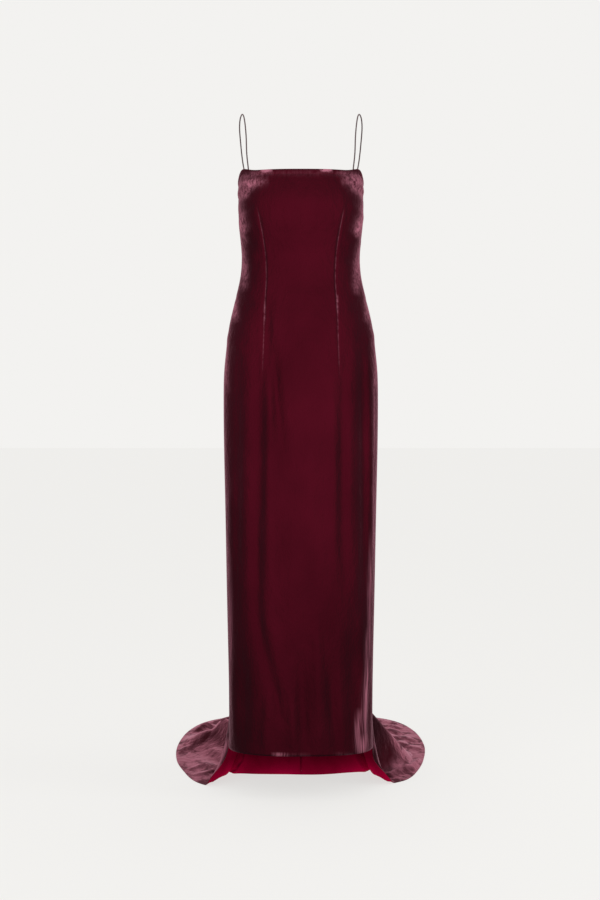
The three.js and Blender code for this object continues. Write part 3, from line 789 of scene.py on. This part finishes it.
class Nodes:
    """A material's nodes, made and joined in short calls."""

    def __init__(self, name):
        self.material = bpy.data.materials.new(name)
        self.material.use_nodes = True
        self.tree = self.material.node_tree
        self.shader = self.tree.nodes["Principled BSDF"]
        self.uv = self.add("ShaderNodeUVMap").outputs["UV"]
        self.place = self.add("ShaderNodeTexCoord").outputs["Object"]

    def add(self, kind, **settings):
        node = self.tree.nodes.new(kind)
        for key, value in settings.items():
            setattr(node, key, value)
        return node

    def link(self, source, target):
        self.tree.links.new(source, target)

    def noise(self, scale, detail=2.0, stretch=(1, 1, 1), roughness=0.5, along=None):
        mapping = self.add("ShaderNodeMapping")
        mapping.inputs["Scale"].default_value = stretch
        self.link(along or self.place, mapping.inputs["Vector"])
        node = self.add("ShaderNodeTexNoise")
        node.inputs["Scale"].default_value = scale
        node.inputs["Detail"].default_value = detail
        node.inputs["Roughness"].default_value = roughness
        self.link(mapping.outputs["Vector"], node.inputs["Vector"])
        return node.outputs["Fac"]

    def ramp(self, source, stops):
        node = self.add("ShaderNodeValToRGB")
        elements = node.color_ramp.elements
        for i, (place, color) in enumerate(stops):
            stop = elements[i] if i < 2 else elements.new(place)
            stop.position = place
            stop.color = (*color, 1)
        self.link(source, node.inputs["Fac"])
        return node.outputs["Color"]

    def math(self, operation, first, second):
        node = self.add("ShaderNodeMath", operation=operation)
        for i, value in enumerate((first, second)):
            if isinstance(value, (int, float)):
                node.inputs[i].default_value = value
            else:
                self.link(value, node.inputs[i])
        return node.outputs[0]

    def bumps(self, layers):
        """Bump from (height, distance in metres, strength) layers, one after another."""
        normal = None
        for height, distance, strength in layers:
            node = self.add("ShaderNodeBump")
            node.inputs["Distance"].default_value = distance
            node.inputs["Strength"].default_value = strength
            self.link(height, node.inputs["Height"])
            if normal is not None:
                self.link(normal, node.inputs["Normal"])
            normal = node.outputs["Normal"]
        self.link(normal, self.shader.inputs["Normal"])
        return normal

    def blend(self, kind, share, first, second):
        """Mixes two colours, each a socket or a plain colour."""
        node = self.add("ShaderNodeMix", data_type="RGBA", blend_type=kind)
        inputs = (node.inputs["Factor"], node.inputs[6], node.inputs[7])
        for socket, value in zip(inputs, (share, first, second)):
            if isinstance(value, bpy.types.NodeSocket):
                self.link(value, socket)
            else:
                socket.default_value = value if isinstance(value, (int, float)) else (*value, 1)
        return node.outputs[2]


# Painted sheen and shade in the base colour, by how the pile faces the eye from square on (0) to edge on (1):
# wine red, near black as it turns away, dusty pink at the edge.
PAINTED_PILE_SHEEN = [
    (0.0, (0.073, 0.0026, 0.0105)),
    (0.04, (0.063, 0.0024, 0.0090)),
    (0.11, (0.047, 0.0022, 0.0072)),
    (0.18, (0.036, 0.0022, 0.0064)),
    (0.27, (0.0300, 0.0024, 0.0062)),
    (0.375, (0.0315, 0.0034, 0.0075)),
    (0.47, (0.038, 0.0056, 0.0105)),
    (0.62, (0.055, 0.0125, 0.020)),
    (0.775, (0.12, 0.036, 0.053)),
    (1.0, (0.34, 0.155, 0.20)),
]
# The same painted sheen and shade on the train, turning pink sooner as it turns away.
PAINTED_TRAIN_SHEEN = [
    (0.0, (0.080, 0.0040, 0.0120)),
    (0.16, (0.042, 0.0030, 0.0075)),
    (0.30, (0.036, 0.0045, 0.0085)),
    (0.45, (0.070, 0.0170, 0.0260)),
    (0.60, (0.19, 0.054, 0.080)),
    (0.775, (0.34, 0.115, 0.160)),
    (1.0, (0.44, 0.20, 0.26)),
]
# Pale pink painted in for highlights and sheen where the point attribute calls for it.
PAINTED_HIGHLIGHT_PINK = (0.41, 0.135, 0.195)


def velvet_material():
    n = Nodes("velvet_pile")
    down = n.add("ShaderNodeSeparateXYZ")
    n.link(n.uv, down.inputs["Vector"])
    on_train = n.add("ShaderNodeMapRange")
    on_train.inputs["From Min"].default_value = 1.32
    on_train.inputs["From Max"].default_value = 1.40
    n.link(down.outputs["Y"], on_train.inputs["Value"])
    on_train = on_train.outputs["Result"]
    on_skirt = n.math("SUBTRACT", 1.0, on_train)
    streaks = n.noise(1, 3, (150, 16, 1), 0.6, n.uv)
    fine = n.noise(1, 2, (240, 9, 1), 0.6, n.uv)
    blotches = n.noise(46, 3, (1.2, 1.2, 0.6), 0.6)
    crushed = n.noise(34, 4, (1, 0.7, 1), 0.62)
    mottle = n.noise(170, 4, (1, 1, 0.6), 0.72)
    broad = n.noise(9, 2, (1, 1, 0.7), 0.5)
    pile = n.noise(900, 2)
    streaked = n.math("MULTIPLY", streaks, on_skirt)
    flecked = n.math("MULTIPLY", mottle, on_skirt)
    crumpled = n.math("MULTIPLY", crushed, on_train)
    normal = n.bumps(
        [
            (blotches, 0.003, 0.8),
            (flecked, 0.0009, 0.8),
            (crumpled, 0.003, 0.8),
            (streaked, 0.0003, 0.8),
            (pile, 0.00015, 0.4),
        ]
    )
    # Painted sheen and shade: the base colour is read off the ramps by how the surface faces the eye.
    facing = n.add("ShaderNodeLayerWeight")
    facing.inputs["Blend"].default_value = 0.5
    n.link(normal, facing.inputs["Normal"])
    sheen = n.ramp(facing.outputs["Facing"], PAINTED_PILE_SHEEN)
    train_sheen = n.ramp(facing.outputs["Facing"], PAINTED_TRAIN_SHEEN)
    uneven = n.ramp(broad, [(0.3, (0.82, 0.82, 0.82)), (0.7, (1.12, 1.12, 1.12))])
    sheen = n.blend("MULTIPLY", 1.0, sheen, uneven)
    height = n.add("ShaderNodeSeparateXYZ")
    n.link(n.place, height.inputs["Vector"])
    # Painted shade: the colour darkens down the skirt towards the floor.
    fall = n.add("ShaderNodeMapRange")
    fall.inputs["From Min"].default_value = -1.5
    fall.inputs["From Max"].default_value = -0.85
    fall.inputs["To Min"].default_value = 0.54
    fall.inputs["To Max"].default_value = 1.0
    n.link(height.outputs["Z"], fall.inputs["Value"])
    sheen = n.blend("MULTIPLY", 1.0, sheen, fall.outputs["Result"])
    sheen = n.blend("MIX", on_train, sheen, train_sheen)
    # On the train the painted sheen is broken into dark dabs where the cloth is turned halfway to the eye.
    dabs = n.ramp(crushed, [(0.39, (0.28, 0.2, 0.22)), (0.52, (1.06, 1.06, 1.06))])
    aslant = n.add("ShaderNodeMapRange")
    aslant.inputs["From Min"].default_value = 0.45
    aslant.inputs["From Max"].default_value = 0.70
    n.link(facing.outputs["Facing"], aslant.inputs["Value"])
    sheen = n.blend("MULTIPLY", n.math("MULTIPLY", on_train, aslant.outputs["Result"]), sheen, dabs)
    # Painted highlights and sheen from the point attribute, pale pink, broken up by grain.
    marks = n.add("ShaderNodeAttribute", attribute_name="painted_light_and_seam_marks").outputs["Fac"]
    low = n.add("ShaderNodeMapRange")
    low.inputs["From Min"].default_value = -0.6
    low.inputs["From Max"].default_value = -0.9
    n.link(height.outputs["Z"], low.inputs["Value"])
    grain = n.blend("MIX", low.outputs["Result"], mottle, fine)
    grain = n.blend("MIX", on_train, grain, crushed)
    broken = n.ramp(grain, [(0.36, (0.08,) * 3), (0.66, (1,) * 3)])
    amount = n.math("MULTIPLY", marks, broken)
    n.link(n.blend("MIX", amount, sheen, PAINTED_HIGHLIGHT_PINK), n.shader.inputs["Base Color"])
    n.shader.inputs["Roughness"].default_value = 0.9
    n.shader.inputs["Specular IOR Level"].default_value = 0.04
    n.shader.inputs["Sheen Weight"].default_value = 0.05
    n.shader.inputs["Sheen Roughness"].default_value = 0.25
    n.shader.inputs["Sheen Tint"].default_value = (0.9, 0.4, 0.55, 1)
    return n.material


def wrong_side_material():
    n = Nodes("crimson_wrong_side")
    weave = n.noise(900, 2)
    patches = n.noise(11, 3)
    stops = [(0.3, (0.13, 0.0005, 0.012)), (0.55, (0.20, 0.0008, 0.020)), (0.75, (0.25, 0.001, 0.027))]
    folds = n.add("ShaderNodeAttribute", attribute_name="painted_light_and_seam_marks").outputs["Fac"]
    place = n.add("ShaderNodeSeparateXYZ")
    n.link(n.place, place.inputs["Vector"])
    colour = n.ramp(patches, stops)
    # Painted shade and light: darker higher up, under the front hem, and brighter out towards the sides.
    for value, start, end, first, last in (
        (place.outputs["Z"], -1.538, -1.500, 1.3, 0.6),
        (n.math("ABSOLUTE", place.outputs["X"], 0.0), 0.12, 0.17, 1.0, 1.6),
    ):
        shade = n.add("ShaderNodeMapRange")
        shade.inputs["From Min"].default_value = start
        shade.inputs["From Max"].default_value = end
        shade.inputs["To Min"].default_value = first
        shade.inputs["To Max"].default_value = last
        n.link(value, shade.inputs["Value"])
        colour = n.blend("MULTIPLY", 1.0, colour, shade.outputs["Result"])
    # Painted shade in the folds, and dark seam lines, from the point attribute.
    n.link(n.blend("MIX", folds, colour, (0.05, 0.0003, 0.006)), n.shader.inputs["Base Color"])
    n.shader.inputs["Roughness"].default_value = 1.0
    n.shader.inputs["Specular IOR Level"].default_value = 0.0
    n.bumps([(patches, 0.003, 0.5), (weave, 0.0003, 0.4)])
    return n.material


def strap_material():
    n = Nodes("strap_tube")
    grain = n.noise(600, 2)
    stops = [(0.3, (0.040, 0.020, 0.021)), (0.7, (0.085, 0.048, 0.050))]
    n.link(n.ramp(grain, stops), n.shader.inputs["Base Color"])
    n.shader.inputs["Roughness"].default_value = 0.6
    n.shader.inputs["Sheen Weight"].default_value = 0.3
    n.shader.inputs["Sheen Tint"].default_value = (0.8, 0.65, 0.66, 1)
    return n.material


def build_dress():
    velvet, wrong = velvet_material(), wrong_side_material()
    pieces = {}
    grid, painted_light_and_seam_marks = front_grid()
    pieces["front"] = shell("front_cloth", grid, painted_light_and_seam_marks, 0 * painted_light_and_seam_marks, 1, [velvet, wrong])
    for node, half in (("back_left", LEFT_HALF), ("back_right", RIGHT_HALF)):
        grid = back_grid(half)
        # Painted sheen on the train, along the side hems and beside the back side seams.
        painted_light_and_seam_marks = creases(TRAIN_PAINTED_SHEEN, grid[..., 0], grid[..., 1]) * smooth((80 - grid[..., 2]) / 50)
        painted_light_and_seam_marks += creases(SIDE_HEM_PAINTED_HIGHLIGHTS, grid[..., 0], grid[..., 2]) * smooth((50 - grid[..., 1]) / 20)
        painted_light_and_seam_marks += creases(BACK_PAINTED_SHEEN, grid[..., 0], grid[..., 2])
        # Painted shade in the folds of the wrong side, and its seam lines.
        inside = np.minimum(1, creases(INSIDE_FOLD_SHADE_AND_SEAMS, grid[..., 0], grid[..., 2]))
        pieces[node] = shell(node + "_cloth", grid, painted_light_and_seam_marks, inside, half["side"], [velvet, wrong])
    for node, side in (("strap_left", 1), ("strap_right", -1)):
        line = strap_points(side)
        pieces[node] = tube(node + "_tube", line, STRAP_DIAMETER / 2 * METRES, strap_material())
    for node, piece in pieces.items():
        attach(piece, "root")
        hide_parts(node)
    return pieces


def studio():
    """A pale floor that runs into a pale backdrop, and soft light from all round."""
    scene = bpy.context.scene
    scene.view_settings.view_transform = "Standard"
    pale = (0.896, 0.888, 0.871)
    world = bpy.data.worlds.new("studio")
    world.use_nodes = True
    world.node_tree.nodes["Background"].inputs["Color"].default_value = (*pale, 1)
    world.node_tree.nodes["Background"].inputs["Strength"].default_value = 1.0
    scene.world = world
    bpy.ops.mesh.primitive_plane_add(size=FLOOR_SIZE, location=(0, 0, FLOOR))
    floor = bpy.context.object
    floor.name = "studio_floor"
    material = bpy.data.materials.new("studio_pale")
    material.use_nodes = True
    tree = material.node_tree
    shader = tree.nodes["Principled BSDF"]
    shader.inputs["Base Color"].default_value = (0.86, 0.855, 0.84, 1)
    shader.inputs["Roughness"].default_value = 1
    shader.inputs["Specular IOR Level"].default_value = 0
    glow = tree.nodes.new("ShaderNodeEmission")
    glow.inputs["Color"].default_value = (*pale, 1)
    blend = tree.nodes.new("ShaderNodeMixShader")
    blend.inputs["Fac"].default_value = 0.75
    tree.links.new(shader.outputs[0], blend.inputs[1])
    tree.links.new(glow.outputs[0], blend.inputs[2])
    tree.links.new(blend.outputs[0], tree.nodes["Material Output"].inputs["Surface"])
    floor.data.materials.append(material)


def soft_light(name, place, aim, size, power):
    data = bpy.data.lights.new(name, "AREA")
    data.shape = "RECTANGLE"
    data.size, data.size_y = size
    data.energy = power
    light = bpy.data.objects.new(name, data)
    light.location = place
    light.rotation_euler = (Vector(aim) - Vector(place)).to_track_quat("-Z", "Y").to_euler()
    bpy.context.scene.collection.objects.link(light)


def camera():
    """At the photograph's place: 3 m in front of the dress and 0.8 m above the floor, level."""
    data = bpy.data.cameras.new("camera")
    data.lens = 52.2
    data.sensor_width = 36
    data.shift_x = -0.8 / 900
    data.shift_y = -12.5 / 900
    data.clip_start, data.clip_end = 0.05, 100
    eye = bpy.data.objects.new("camera", data)
    eye.location = (0, -3.0, FLOOR + 0.803)
    eye.rotation_euler = (math.pi / 2, 0, 0)
    bpy.context.scene.collection.objects.link(eye)
    bpy.context.scene.camera = eye


camera()
studio()
soft_light("key", (-1.6, -2.6, 1.0), (0, 0, -0.6), (1.6, 2.4), 18)
soft_light("right_strip", (2.2, -0.6, 0.0), (0, 0, -0.8), (0.8, 2.4), 14)
build_dress()
